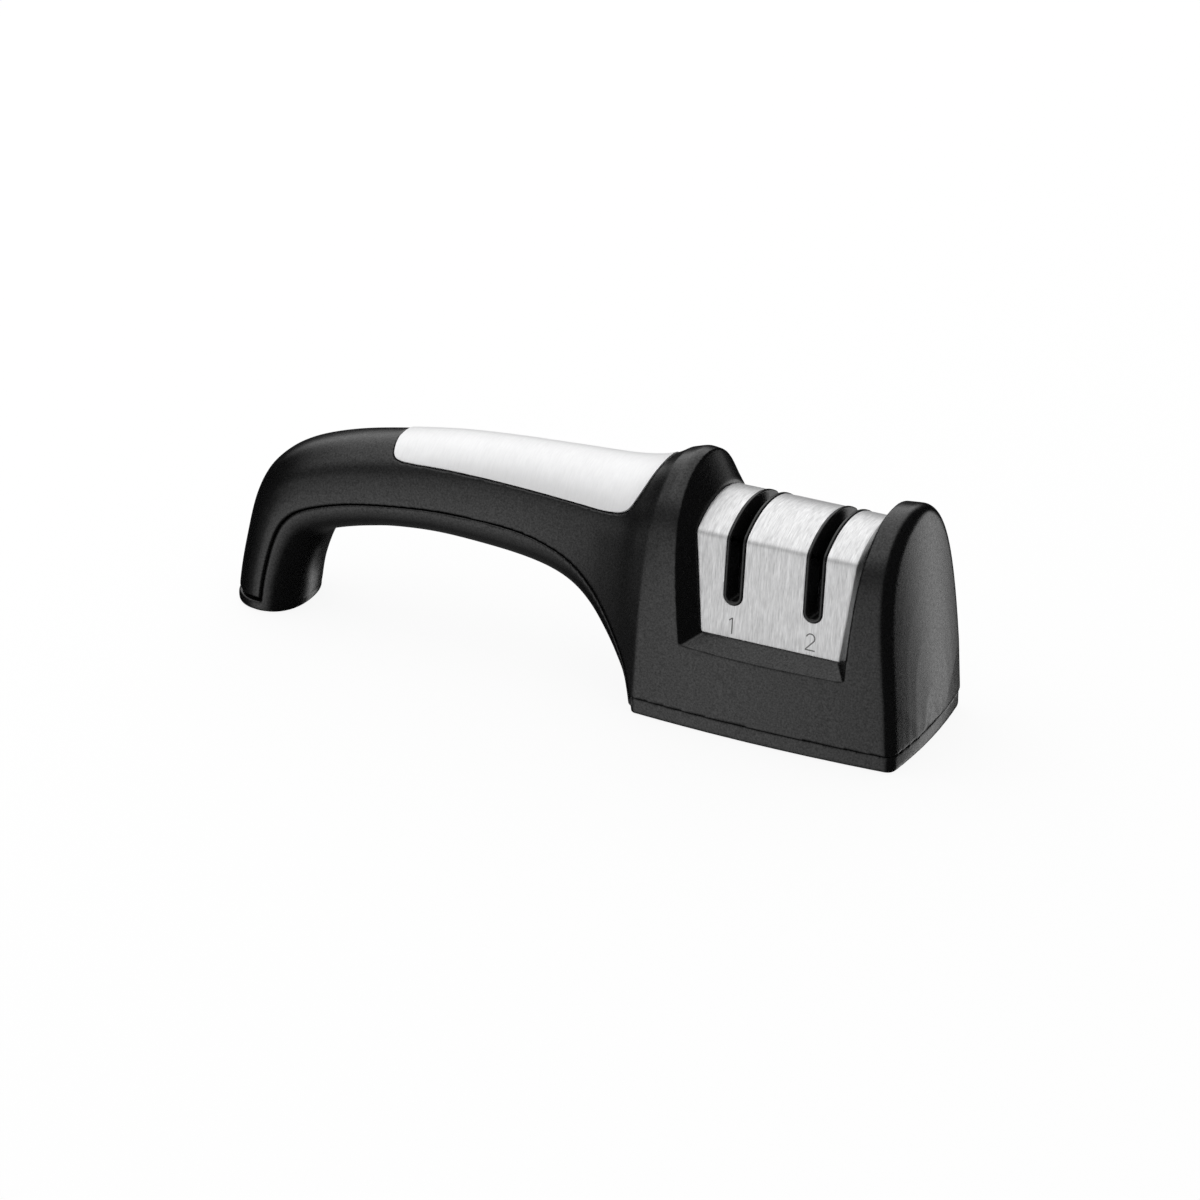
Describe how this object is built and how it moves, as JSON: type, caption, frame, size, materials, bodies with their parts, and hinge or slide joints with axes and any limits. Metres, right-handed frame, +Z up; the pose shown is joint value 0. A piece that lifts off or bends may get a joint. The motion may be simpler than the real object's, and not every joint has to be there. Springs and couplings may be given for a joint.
{
  "type": "pull-through knife sharpener",
  "caption": "Pull-through knife sharpener: loop grip with steel inlay and an arched steel head with slots over free-turning diamond wheel pairs",
  "frame": {"origin": "centre of the bounding box, on the table", "axes": "+X from the grip to the end cap of the head, Y along the knife slots, +Z up"},
  "size_m": [0.2073, 0.0482, 0.071],
  "materials": {
    "black_plastic": "satin black with a fine spark-eroded grain",
    "guide_plastic": "smooth satin black",
    "rubber": "matte anti-slip rubber",
    "adhesive": "thin adhesive film",
    "brushed_steel": "fine brushed stainless steel",
    "hardware_steel": "plain zinc-plated steel",
    "coarse_diamond": "coarse diamond grit in nickel",
    "fine_diamond": "fine diamond grit in nickel"
  },
  "bodies": {
    "frame": {"upper_housing": "black_plastic", "lower_housing": "black_plastic", "base_pad": "rubber", "foot_pad": "rubber", "grip_inlay": "brushed_steel", "inlay_adhesive": "adhesive", "steel_cover": "brushed_steel", "cover_adhesive": "adhesive", "slot_guide": "guide_plastic", "wheel_carrier": "guide_plastic", "carrier_screws": "hardware_steel", "base_screws": "hardware_steel", "grip_screws": "hardware_steel", "axle_clips": "hardware_steel", "coarse_axle": "hardware_steel", "coarse_washers": "hardware_steel", "fine_axle": "hardware_steel", "fine_washers": "hardware_steel"},
    "coarse_wheels": {"coarse_wheel_left": "coarse_diamond", "coarse_wheel_right": "coarse_diamond", "coarse_hub": "guide_plastic"},
    "fine_wheels": {"fine_wheel_left": "fine_diamond", "fine_wheel_right": "fine_diamond", "fine_hub": "guide_plastic"}
  },
  "joints": [
    {"name": "coarse_wheels_spin", "type": "hinge", "parent": "frame", "child": "coarse_wheels", "pos_m": [0.0526, 0, 0.0331], "axis": [1, 0, 0], "continuous": true},
    {"name": "fine_wheels_spin", "type": "hinge", "parent": "frame", "child": "fine_wheels", "pos_m": [0.0757, 0, 0.0331], "axis": [1, 0, 0], "continuous": true}
  ]
}
